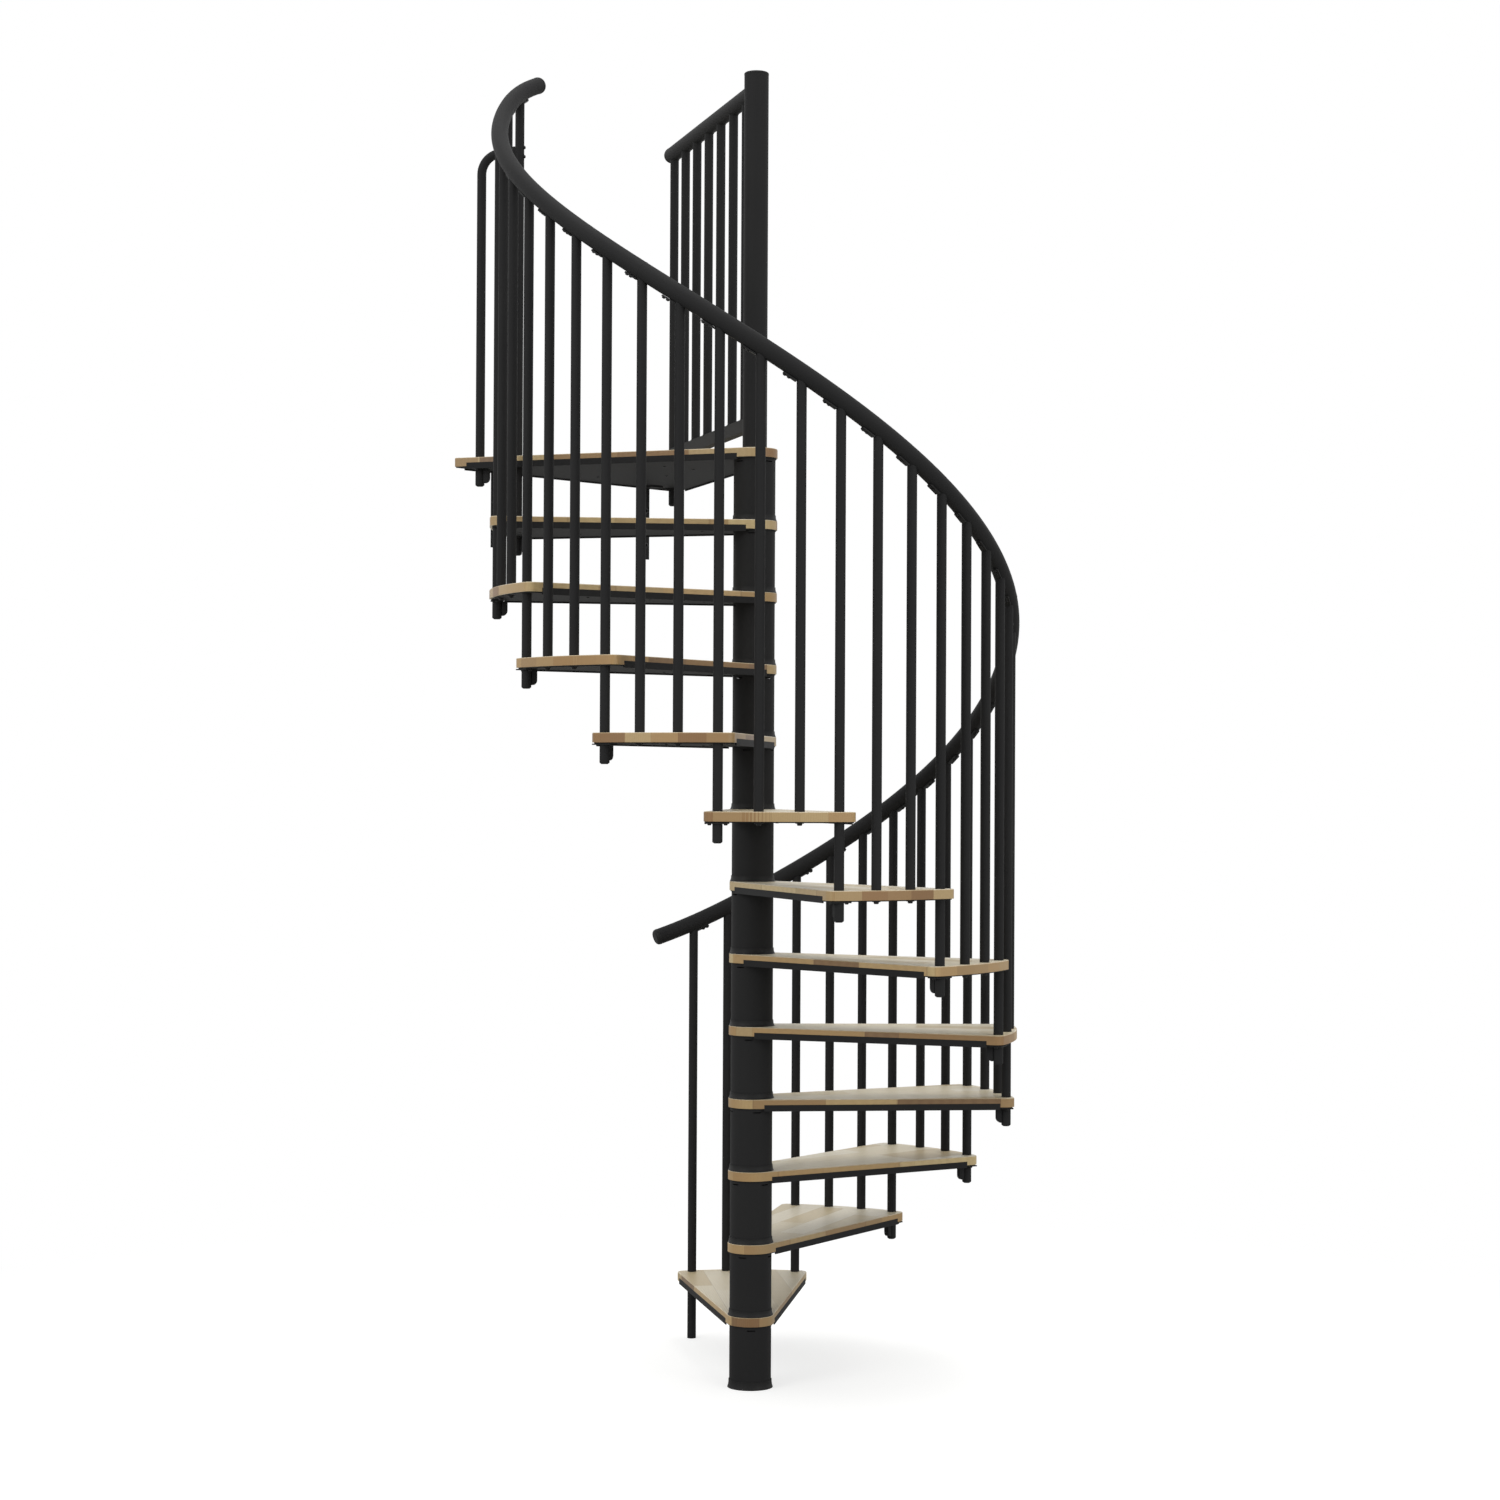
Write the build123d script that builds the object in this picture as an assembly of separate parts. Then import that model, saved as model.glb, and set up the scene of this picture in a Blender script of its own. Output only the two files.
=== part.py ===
"""Spiral staircase: black steel kit stair with hardwood treads, triangular landing and round handrail.

Millimetres, +Z up. The origin is the column's axis on the floor, and bearings run clockwise from +Y,
the way the stair climbs. The landing points at +Y, where its straight edge meets the upper floor's slab.
"""

import os
from math import asin, cos, degrees, radians, sin, sqrt

from build123d import *

# Storey and turn
storey_height = 2483.0
riser_count = 13
tread_turn = 25.2
rise = storey_height / riser_count
tread_count = riser_count - 1

# Column
post_radius = 32.5
post_wall = 4.0
post_top = 3481.0
spacer_radius = 55.5
spacer_wall = 3.0
collar_height = 15.0
base_collar_height = 21.0
collar_thickness = 1.5
collar_flare = 3.2
base_plate_radius = 50.0
base_plate_thickness = 8.0
anchor_circle_radius = 42.0
anchor_hole_radius = 5.5
anchor_count = 4
cap_overhang = 0.4
cap_height = 6.0

# Treads: a hardwood board on a folded steel tray
board_thickness = 24.0
hub_radius = 61.0
tread_overhang = 20.0
tread_corner_radius = 22.0
edge_rounding = 1.5
tray_plate = 3.0
tray_outer_setback = 6.0
lip_thickness = 3.0
lip_top_drop = 14.0
lip_bottom_drop = 31.0
lip_hub_gap = 28.0
lip_corner_gap = 40.0
cup_height = 20.0
cup_slot_width = 22.0
cup_slot_height = 3.0
cup_slot_drop = 8.0
cup_slot_count = 4
bushing_wall = 3.5

# Balusters
baluster_circle_radius = 680.0
baluster_radius = 12.5
balusters_per_tread = 3
nose_inset = 42.0
rear_inset = 34.0
stub_drop = 76.0
stub_rounding = 4.0

# Bracket under each joint baluster
bracket_width = 54.0
bracket_depth = 32.0
bracket_plate = 3.0
bracket_web_reach = 15.0
bracket_web_height = 38.0
bracket_web_width = 14.0
bracket_web_rounding = 13.0

# Handrail, a round tube that sags a little in its first length; its two ends ease out of the helix
handrail_radius = 22.5
handrail_height = 1001.0
handrail_start = -1.06
handrail_end = 37.07
handrail_joints = (14.0, 26.0)
handrail_sag = 37.0
lower_easing_from = 1.0
lower_easing_lift = 2.0
upper_easing_from = 35.0
upper_easing_drop = 6.4
path_step = 0.5
path_tolerance = 0.01
end_cap_length = 12.0
end_cap_rounding = 9.0
saddle_reach = 24.0
saddle_width = 16.0
saddle_thickness = 4.0
saddle_corner_radius = 6.0

# Landing and its railing
landing_half_angle = 30.0
landing_reach = 857.0
landing_corner_radius = 6.0
fixing_plate_spacing = 550.0
fixing_plate_width = 40.0
fixing_plate_thickness = 5.0
fixing_plate_drop = 237.0
fixing_foot_depth = 60.0
fixing_hole_radius = 5.5
fixing_hole_spacing = 100.0
fixing_lowest_hole = 40.0
landing_rail_inset = 42.0
landing_rail_height = 958.0
landing_rail_overrun = 31.0
landing_baluster_count = 7
landing_first_baluster = 91.0
landing_corner_baluster = 808.0
bottom_rail_centre = 72.0
bottom_rail_height = 35.0
bottom_rail_width = 25.0
safety_bar_inset = 34.0
safety_bar_beyond = 110.0
safety_bar_height = 835.0
safety_bar_bend = 55.0
safety_tongue_height = 33.0
safety_tongue_thickness = 6.0
safety_tongue_length = 40.0

# Clearances
hole_clearance = 0.4
post_clearance = 0.35
collar_clearance = 0.3
saddle_clearance = 0.5
cutter_margin = 60.0
half_turn = 180.0

# Worked out from the sizes above
tray_bottom_drop = board_thickness + tray_plate
cup_bottom_drop = tray_bottom_drop + cup_height
tray_hub_radius = hub_radius - lip_thickness
landing_top = storey_height
baluster_turn = tread_turn / balusters_per_tread
tread_radius = baluster_circle_radius + tread_overhang
safety_bar_circle_radius = baluster_circle_radius + safety_bar_beyond
slab_edge = landing_reach * cos(radians(landing_half_angle))


def place(radius, bearing, height=0.0):
    """Point at a radius and a bearing clockwise from +Y."""
    angle = radians(bearing)
    return Vector(radius * sin(angle), radius * cos(angle), height)


def heading(bearing):
    """Unit vector pointing out along a bearing."""
    return place(1.0, bearing)


def edge_lean(inset, radius):
    """Angle between a hub-tangent edge and a point that stands the inset inside it."""
    return degrees(asin((hub_radius - inset) / radius))


landing_nose = -landing_half_angle + degrees(asin(hub_radius / landing_reach))
landing_rear = -landing_nose
last_joint = landing_nose - edge_lean(nose_inset, baluster_circle_radius)
landing_rail_bearing = landing_rear + edge_lean(landing_rail_inset, landing_corner_baluster)
safety_bar_bearing = landing_nose - edge_lean(safety_bar_inset, safety_bar_circle_radius)


def joint_bearing(index):
    """Bearing of the joint baluster between tread index and the tread above it."""
    return last_joint - (tread_count - index) * tread_turn


def tread_edges(index):
    """Bearings along which a tread's nose edge and rear edge run."""
    nose = joint_bearing(index - 1) + edge_lean(nose_inset, baluster_circle_radius)
    rear = joint_bearing(index) - edge_lean(rear_inset, baluster_circle_radius)
    return nose, rear


def rail_level(step):
    """Height of the handrail's centre line, with step counted in balusters from the first one."""
    level = (step / balusters_per_tread + 1.0) * rise + handrail_height
    share = step / handrail_joints[0]
    if share < 1.0:
        level -= handrail_sag * 27.0 / 4.0 * share * (1.0 - share) ** 2
    if step < lower_easing_from:
        level += lower_easing_lift * (lower_easing_from - step) ** 2
    if step > upper_easing_from:
        level -= upper_easing_drop * (step - upper_easing_from) ** 2
    return level


def rail_point(step):
    """Point of the handrail's centre line."""
    bearing = joint_bearing(0) + step * baluster_turn
    return place(baluster_circle_radius, bearing, rail_level(step))


def rail_direction(step):
    """Unit tangent of the handrail, pointing uphill."""
    reach = 0.01
    return (rail_point(step + reach) - rail_point(step - reach)).normalized()


def disc(radius, low, high):
    """Upright cylinder on the column's axis between two heights."""
    return Pos(0, 0, low) * extrude(Circle(radius), high - low)


def ring(outer, inner, low, high):
    """Upright tube on the column's axis between two heights."""
    return Pos(0, 0, low) * extrude(Circle(outer) - Circle(inner), high - low)


def rod(point, radius, low, high):
    """Upright round bar through a point between two heights."""
    return Pos(point.X, point.Y, low) * extrude(Circle(radius), high - low)


def edge_line(bearing, side, offset, along):
    """Point on a line along a bearing, the offset from the axis; side is -1 at a nose and 1 at a rear."""
    return place(offset, bearing + 90.0 * side) + heading(bearing) * along


def tread_outline(nose, rear, hub, outer, corner):
    """Plan of a tread: round hub, straight tangent edges and an outer arc with rounded corners."""
    run = sqrt(outer**2 - hub**2)
    nose_hub = edge_line(nose, -1, hub, 0.0)
    nose_tip = edge_line(nose, -1, hub, run)
    rear_hub = edge_line(rear, 1, hub, 0.0)
    rear_tip = edge_line(rear, 1, hub, run)
    middle = (nose + rear) / 2.0
    wire = Wire(
        [
            Line(nose_hub, nose_tip),
            ThreePointArc(nose_tip, place(outer, middle), rear_tip),
            Line(rear_tip, rear_hub),
            ThreePointArc(rear_hub, place(hub, middle + half_turn), nose_hub),
        ]
    )
    face = Face(wire)
    tips = [v for v in face.vertices() if Vector(*v).length > (hub + outer) / 2.0]
    return upright(face.fillet_2d(corner, tips))


def landing_outline(hub, slab, corner):
    """Plan of the landing: round hub, two tangent edges and the straight edge at the slab."""
    left_hub = edge_line(landing_nose, -1, hub, 0.0)
    right_hub = edge_line(landing_rear, 1, hub, 0.0)
    run = (slab - left_hub.Y) / heading(landing_nose).Y
    left_tip = edge_line(landing_nose, -1, hub, run)
    right_tip = edge_line(landing_rear, 1, hub, run)
    wire = Wire(
        [
            Line(left_hub, left_tip),
            Line(left_tip, right_tip),
            Line(right_tip, right_hub),
            ThreePointArc(right_hub, place(hub, half_turn), left_hub),
        ]
    )
    face = Face(wire)
    tips = [v for v in face.vertices() if v.Y > (hub + slab) / 2.0]
    return upright(face.fillet_2d(corner, tips))


def upright(face):
    """The same face with its normal up."""
    return face if face.normal_at().Z > 0 else -face


def slab_of(outline, low, high):
    """Plate of an outline between two heights."""
    return Pos(0, 0, low) * extrude(outline, high - low, dir=(0, 0, 1))


def edge_strip(bearing, side, inner, outer, start, end, low, high):
    """Upright strip along a straight edge, between two offsets from the axis."""
    plane = Plane(origin=(0, 0, low), x_dir=heading(bearing), z_dir=(0, 0, 1))
    middle = place((inner + outer) / 2.0, bearing + 90.0 * side) + heading(bearing) * ((start + end) / 2.0)
    box = extrude(Rectangle(end - start, outer - inner), high - low)
    return Pos(middle.X, middle.Y, 0) * plane.location * box


def lip_span(reach):
    """Where a lip starts and ends along its edge, counted from the hub's tangent point."""
    return lip_hub_gap, sqrt(reach**2 - hub_radius**2) - lip_corner_gap


def board(outline, top, nose, rear, reach, holes):
    """Hardwood board with rebates for the tray's lips, the post's bore and the balusters' holes."""
    body = slab_of(outline, top - board_thickness, top)
    body = chamfer(body.edges().group_by(Axis.Z)[-1], edge_rounding)
    start, end = lip_span(reach)
    for bearing, side in ((nose, -1), (rear, 1)):
        body -= edge_strip(
            bearing, side, tray_hub_radius, hub_radius + 1.0, start, end,
            top - board_thickness - 1.0, top - lip_top_drop,
        )
    body -= disc(post_radius + post_clearance, top - board_thickness - 1.0, top + 1.0)
    for point in holes:
        body -= rod(point, baluster_radius + hole_clearance, top - board_thickness - 1.0, top + 1.0)
    return body


def tray(outline, top, nose, rear, reach, holes):
    """Steel tray: plate under the board, folded lips, slotted cup and a bushing round the post."""
    under = top - tray_bottom_drop
    body = slab_of(outline, under, top - board_thickness)
    start, end = lip_span(reach)
    for bearing, side in ((nose, -1), (rear, 1)):
        body += edge_strip(
            bearing, side, tray_hub_radius, hub_radius, start, end,
            top - lip_bottom_drop, top - lip_top_drop,
        )
    cup = ring(spacer_radius, spacer_radius - spacer_wall, top - cup_bottom_drop, under)
    slot_level = under - cup_slot_drop
    for quarter in range(cup_slot_count):
        turn = (nose + rear) / 2.0 + quarter * 360.0 / cup_slot_count
        cutter = Box(cup_slot_width, 4.0 * spacer_wall, cup_slot_height)
        centre = place(spacer_radius, turn, slot_level)
        cup -= Pos(centre.X, centre.Y, centre.Z) * Rot(0, 0, -turn) * cutter
    body += cup
    body += ring(
        post_radius + post_clearance + bushing_wall, post_radius, top - cup_bottom_drop, under
    )
    body -= disc(post_radius + post_clearance, top - cup_bottom_drop - 1.0, top)
    for point in holes:
        body -= rod(point, baluster_radius + hole_clearance, under - 1.0, top)
    return body


def tread_holes(index):
    """Points where joint balusters pass through a tread; the first tread's rear one only stands on it."""
    points = [place(baluster_circle_radius, joint_bearing(index - 1))]
    if index > 1:
        points.append(place(baluster_circle_radius, joint_bearing(index)))
    return points


def tread_pair(index):
    """Board and tray of one tread."""
    top = index * rise
    nose, rear = tread_edges(index)
    holes = tread_holes(index)
    board_plan = tread_outline(nose, rear, hub_radius, tread_radius, tread_corner_radius)
    tray_plan = tread_outline(
        nose, rear, tray_hub_radius, tread_radius - tray_outer_setback,
        tread_corner_radius - lip_thickness,
    )
    wood = board(board_plan, top, nose, rear, tread_radius, holes)
    steel = tray(tray_plan, top, nose, rear, tread_radius, holes)
    return wood, steel


def stub_posts():
    """Upright bars that pass through the landing: at the railing's corner and at the safety bar."""
    return [
        place(landing_corner_baluster, landing_rail_bearing),
        place(safety_bar_circle_radius, safety_bar_bearing),
    ]


def landing_pair():
    """Board and tray of the landing; the tray has a third lip along the slab."""
    holes = [place(baluster_circle_radius, last_joint)] + stub_posts()
    board_plan = landing_outline(hub_radius, slab_edge, landing_corner_radius)
    tray_plan = landing_outline(tray_hub_radius, slab_edge - lip_thickness, landing_corner_radius / 2.0)
    wood = board(board_plan, landing_top, landing_nose, landing_rear, landing_reach, holes)
    steel = tray(tray_plan, landing_top, landing_nose, landing_rear, landing_reach, holes)
    length = 2.0 * (landing_reach * sin(radians(landing_half_angle)) - lip_corner_gap)
    slab_lip = Pos(0, slab_edge - lip_thickness / 2.0, landing_top - (lip_top_drop + lip_bottom_drop) / 2.0)
    slab_lip = slab_lip * Box(length, lip_thickness, lip_bottom_drop - lip_top_drop)
    return wood - slab_lip, steel + slab_lip


def fixing_plates():
    """Two angle plates that carry the landing on the slab's face, each with two anchor holes."""
    foot_top = landing_top - tray_bottom_drop
    lip_foot = landing_top - lip_bottom_drop
    low = landing_top - fixing_plate_drop
    plates = []
    for side in (-1, 1):
        x = side * fixing_plate_spacing / 2.0
        leg_middle = slab_edge - fixing_plate_thickness / 2.0
        leg = Pos(x, leg_middle, (low + lip_foot) / 2.0) * Box(
            fixing_plate_width, fixing_plate_thickness, lip_foot - low
        )
        foot_back = slab_edge - lip_thickness
        foot = Pos(x, foot_back - fixing_foot_depth / 2.0, foot_top - fixing_plate_thickness / 2.0) * Box(
            fixing_plate_width, fixing_foot_depth, fixing_plate_thickness
        )
        plate = leg + foot
        for number in range(2):
            level = low + fixing_lowest_hole + number * fixing_hole_spacing
            bore = Rot(90, 0, 0) * Cylinder(fixing_hole_radius, 6.0 * fixing_plate_thickness)
            plate -= Pos(x, leg_middle, level) * bore
        plates.append(plate)
    return plates


def collar(height):
    """Flared moulding round the foot of a spacer."""
    inner = spacer_radius + collar_clearance
    outer = inner + collar_thickness
    profile = Face(
        Wire(
            [
                Line((inner, 0, 0), (inner, 0, height)),
                Line((inner, 0, height), (outer, 0, height)),
                ThreePointArc(
                    (outer, 0, height), (outer + collar_flare * 0.25, 0, height * 0.4), (outer + collar_flare, 0, 0)
                ),
                Line((outer + collar_flare, 0, 0), (inner, 0, 0)),
            ]
        )
    )
    return revolve(profile, Axis.Z, 360.0)


def column():
    """Base plate, centre post, cap, spacers and the flared collars at their feet."""
    plate = disc(base_plate_radius, 0.0, base_plate_thickness)
    for number in range(anchor_count):
        centre = place(anchor_circle_radius, 45.0 + number * 360.0 / anchor_count)
        plate -= rod(centre, anchor_hole_radius, -1.0, base_plate_thickness + 1.0)
    post = ring(post_radius, post_radius - post_wall, base_plate_thickness, post_top)
    cap = disc(post_radius + cap_overhang, post_top, post_top + cap_height)
    cap = fillet(cap.edges().group_by(Axis.Z)[-1], cap_height * 0.7)
    spacers = []
    collars = []
    for index in range(riser_count):
        foot = index * rise
        spacers.append(ring(spacer_radius, spacer_radius - spacer_wall, foot, foot + rise - cup_bottom_drop))
        collars.append(Pos(0, 0, foot) * collar(base_collar_height if index == 0 else collar_height))
    return plate, post, cap, spacers, collars


def rounded_foot(bar):
    """Rounds the lower end of a bar."""
    return fillet(bar.edges().group_by(Axis.Z)[0], stub_rounding)


def baluster_point(step):
    """Point of a baluster's axis in plan."""
    return place(baluster_circle_radius, joint_bearing(0) + step * baluster_turn)


def rail_cutter(step):
    """Straight round bar along the handrail at a baluster, larger than the handrail by the saddle's clearance."""
    along = Plane(origin=rail_point(step), z_dir=rail_direction(step))
    return along.location * Cylinder(handrail_radius + saddle_clearance, 2.0 * cutter_margin)


def saddle(step):
    """Short strap under the handrail, from a baluster's uphill side to the saddle's reach."""
    pace = (rail_point(step + 0.5) - rail_point(step - 0.5)).length
    lean = rail_direction(step).cross(heading(joint_bearing(0) + step * baluster_turn)).Z
    length = baluster_radius / lean + saddle_reach
    middle = step + length / 2.0 / pace
    along = rail_direction(middle)
    normal = along.cross(heading(joint_bearing(0) + middle * baluster_turn))
    origin = rail_point(middle) - normal * (handrail_radius + saddle_clearance)
    strap = Box(length, saddle_width, saddle_thickness)
    tips = strap.edges().filter_by(Axis.Z).group_by(Axis.X)[-1]
    strap = fillet(tips, saddle_corner_radius)
    strap = Plane(origin=origin, x_dir=along, z_dir=normal).location * Pos(0, 0, -saddle_thickness / 2.0) * strap
    level = rail_level(step)
    return strap - rod(
        baluster_point(step), baluster_radius + hole_clearance, level - cutter_margin, level + cutter_margin
    )


def baluster(step, foot):
    """Upright round bar from its foot to the handrail, coped to its underside."""
    return rod(baluster_point(step), baluster_radius, foot, rail_level(step)) - rail_cutter(step)


def joint_balusters():
    """Bars that tie each tread's rear to the next one's nose; the first stands on the floor."""
    bars = []
    for index in range(riser_count):
        step = index * balusters_per_tread
        if index == 0:
            bars.append(baluster(step, 0.0))
        elif index == 1:
            bars.append(baluster(step, rise))
        else:
            bars.append(rounded_foot(baluster(step, index * rise - stub_drop)))
    return bars


def tread_balusters():
    """Two bars standing on each tread between the joint balusters."""
    bars = []
    for index in range(1, tread_count + 1):
        for number in range(1, balusters_per_tread):
            step = (index - 1) * balusters_per_tread + number
            bars.append(baluster(step, index * rise))
    return bars


def bracket(point, bearing, top):
    """Screwed flange under a tray with a rounded web on the bar's inner side."""
    high = top - tray_bottom_drop
    flange = Pos(0, 0, high - bracket_plate / 2.0) * Box(bracket_width, bracket_depth, bracket_plate)
    web_centre = -(baluster_radius + bracket_web_reach / 2.0)
    web = Box(bracket_web_width, bracket_web_reach, bracket_web_height)
    foot_edge = web.edges().filter_by(Axis.X).group_by(Axis.Z)[0].sort_by(Axis.Y)[0]
    web = fillet([foot_edge], bracket_web_rounding)
    web = Pos(0, web_centre, high - bracket_plate - bracket_web_height / 2.0) * web
    body = flange + web
    body = Pos(point.X, point.Y, 0) * Rot(0, 0, -bearing) * body
    return body - rod(point, baluster_radius + hole_clearance, high - cutter_margin, high + 1.0)


def brackets():
    """Brackets of the joint balusters above the first tread and of the landing's two through bars.

    The one at the railing's corner stands square to the slab's edge.
    """
    pieces = []
    for index in range(2, riser_count):
        bearing = joint_bearing(index)
        pieces.append(bracket(place(baluster_circle_radius, bearing), bearing, index * rise))
    bearings = (0.0, safety_bar_bearing)
    for point, bearing in zip(stub_posts(), bearings):
        pieces.append(bracket(point, bearing, landing_top))
    return pieces


def handrail_section(start, end):
    """Round tube along the handrail's centre line, cut square at two steps."""
    first = start - path_step
    count = round((end - start) / path_step) + 2
    points = [rail_point(first + number * path_step) for number in range(count + 1)]
    path = Edge.make_spline_approx(points, tol=path_tolerance)
    section = Plane(origin=points[0], z_dir=rail_direction(first)) * Circle(handrail_radius)
    tube = sweep(section, path=path, is_frenet=False)
    foot = Plane(origin=rail_point(start), z_dir=rail_direction(start))
    head = Plane(origin=rail_point(end), z_dir=rail_direction(end))
    return split(split(tube, bisect_by=foot, keep=Keep.TOP), bisect_by=head, keep=Keep.BOTTOM)


def end_cap(point, direction):
    """Plug with a rounded rim that closes a rail's end."""
    plug = extrude(Circle(handrail_radius), end_cap_length)
    plug = fillet(plug.edges().group_by(Axis.Z)[-1], end_cap_rounding)
    return Plane(origin=point, z_dir=direction).location * plug


def rail_end_caps():
    """Plugs at the ends of the handrail and of the landing's top rail."""
    landing_end = place(
        landing_corner_baluster + landing_rail_overrun, landing_rail_bearing, landing_top + landing_rail_height
    )
    return [
        end_cap(rail_point(handrail_start), rail_direction(handrail_start) * -1.0),
        end_cap(rail_point(handrail_end), rail_direction(handrail_end)),
        end_cap(landing_end, heading(landing_rail_bearing)),
    ]


def landing_railing():
    """Top rail, bottom rail and balusters along the landing's free edge."""
    direction = heading(landing_rail_bearing)
    level = landing_top + landing_rail_height
    length = landing_corner_baluster + landing_rail_overrun
    rail_plane = Plane(origin=(0, 0, level), x_dir=(0, 0, 1), z_dir=direction)
    top_rail = rail_plane * extrude(Circle(handrail_radius), length)
    top_rail = top_rail - rod(Vector(0, 0, 0), post_radius, level - cutter_margin, level + cutter_margin)
    top_rail = Part(top_rail.solids().sort_by(SortBy.VOLUME)[-1].wrapped)
    middle = landing_top + bottom_rail_centre
    reach = landing_corner_baluster - baluster_radius - hole_clearance
    low_plane = Plane(origin=(0, 0, middle), x_dir=(0, 0, 1), z_dir=direction)
    bottom_rail = low_plane * extrude(Rectangle(bottom_rail_height, bottom_rail_width), reach)
    bottom_rail = bottom_rail - rod(Vector(0, 0, 0), post_radius, middle - cutter_margin, middle + cutter_margin)
    bottom_rail = Part(bottom_rail.solids().sort_by(SortBy.VOLUME)[-1].wrapped)
    pitch = (landing_corner_baluster - landing_first_baluster) / (landing_baluster_count - 1)
    bars = []
    for number in range(landing_baluster_count):
        point = place(landing_first_baluster + number * pitch, landing_rail_bearing)
        corner = number == landing_baluster_count - 1
        foot = landing_top - stub_drop if corner else middle + bottom_rail_height / 2.0
        bar = rod(point, baluster_radius, foot, level)
        bar = bar - rail_plane * extrude(Circle(handrail_radius), length)
        bar = Part(bar.solids().sort_by(SortBy.VOLUME)[-1].wrapped)
        bars.append(rounded_foot(bar) if corner else bar)
    return top_rail, bottom_rail, bars


def safety_bar():
    """Bar at the landing's open corner, bent over and flattened against the last joint baluster."""
    foot = place(safety_bar_circle_radius, safety_bar_bearing, landing_top - stub_drop)
    level = landing_top + safety_bar_height
    target = place(baluster_circle_radius, last_joint, level)
    corner = Vector(foot.X, foot.Y, level)
    inward = (target - corner).normalized()
    tongue_end = target - inward * (baluster_radius - 0.2 * safety_tongue_thickness)
    tongue_start = tongue_end - inward * safety_tongue_length
    bend_low = corner - Vector(0, 0, safety_bar_bend)
    bend_high = corner + inward * safety_bar_bend
    middle = corner + inward * safety_bar_bend - Vector(0, 0, safety_bar_bend)
    elbow = middle + (corner - middle).normalized() * safety_bar_bend
    path = Wire(
        [
            Line(foot, bend_low),
            ThreePointArc(bend_low, elbow, bend_high),
            Line(bend_high, tongue_start),
        ]
    )
    bar = sweep(Plane(origin=foot, z_dir=(0, 0, 1)) * Circle(baluster_radius), path=path)
    bar = rounded_foot(bar)
    tongue_plane = Plane(origin=tongue_start, x_dir=(0, 0, 1), z_dir=inward)
    tongue = extrude(
        tongue_plane * Rectangle(safety_tongue_height, safety_tongue_thickness),
        (tongue_end - tongue_start).length,
    )
    bar = bar + tongue
    hole = rod(Vector(target.X, target.Y, 0), baluster_radius, level - cutter_margin, level + cutter_margin)
    return bar - hole


def save(name, shape):
    """Writes one sub-part; a list becomes one node of separate solids."""
    if isinstance(shape, list):
        shape = Compound(children=[Part(solid.wrapped) for piece in shape for solid in piece.solids()])
    export_step(shape, f"parts/{name}.step")


def main():
    os.makedirs("parts", exist_ok=True)
    plate, post, cap, spacers, collars = column()
    save("base_plate", plate)
    save("centre_post", post)
    save("post_cap", cap)
    save("column_spacers", spacers)
    save("spacer_collars", collars)
    for index in range(1, tread_count + 1):
        wood, steel = tread_pair(index)
        save(f"tread_{index:02d}_board", wood)
        save(f"tread_{index:02d}_tray", steel)
    wood, steel = landing_pair()
    save("landing_board", wood)
    save("landing_tray", steel)
    save("slab_fixing_plates", fixing_plates())
    ends = (handrail_start,) + handrail_joints + (handrail_end,)
    for number in range(len(ends) - 1):
        save(f"handrail_section_{number + 1}", handrail_section(ends[number], ends[number + 1]))
    save("rail_end_caps", rail_end_caps())
    save("joint_balusters", joint_balusters())
    save("tread_balusters", tread_balusters())
    save("baluster_brackets", brackets())
    save("rail_saddles", [saddle(step) for step in range(balusters_per_tread * tread_count + 1)])
    top_rail, bottom_rail, bars = landing_railing()
    save("landing_top_rail", top_rail)
    save("landing_bottom_rail", bottom_rail)
    save("landing_balusters", bars)
    save("safety_bar", safety_bar())


main()
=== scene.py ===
"""Spiral staircase: finishes, screws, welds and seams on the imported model, and the studio round it."""

from math import asin, atan2, cos, degrees, pi, radians, sin

import bpy
from mathutils import Matrix, Vector


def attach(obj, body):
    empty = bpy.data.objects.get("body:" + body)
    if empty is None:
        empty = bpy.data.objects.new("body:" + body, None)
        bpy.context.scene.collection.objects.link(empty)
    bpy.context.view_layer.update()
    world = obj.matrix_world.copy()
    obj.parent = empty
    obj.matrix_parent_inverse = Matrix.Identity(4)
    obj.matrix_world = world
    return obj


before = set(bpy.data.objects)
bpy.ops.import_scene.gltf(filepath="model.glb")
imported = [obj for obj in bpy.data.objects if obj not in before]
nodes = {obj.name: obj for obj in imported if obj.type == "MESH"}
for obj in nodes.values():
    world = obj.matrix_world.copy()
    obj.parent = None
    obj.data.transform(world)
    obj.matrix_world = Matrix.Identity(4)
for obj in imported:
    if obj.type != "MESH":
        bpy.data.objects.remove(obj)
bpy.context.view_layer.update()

# The stair's layout in metres and degrees; bearings run clockwise from +Y
storey = 2.483
risers = 13
rise = storey / risers
tread_turn = 25.2
tread_count = 12
bars_per_tread = 3
bar_turn = tread_turn / bars_per_tread
hub_radius = 0.061
bar_circle = 0.680
bar_radius = 0.0125
nose_inset = 0.042
board_thickness = 0.024
tray_plate = 0.003
bracket_plate = 0.003
stub_drop = 0.076

# Handrail
rail_radius = 0.0225
rail_height = 1.001
rail_start = -1.06
rail_end = 37.07
rail_joints = (14.0, 26.0)
rail_sag = 0.037
lower_easing_from = 1.0
lower_easing_lift = 0.002
upper_easing_from = 35.0
upper_easing_drop = 0.0064
saddle_reach = 0.024
saddle_thickness = 0.004
saddle_gap = 0.0005

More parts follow.
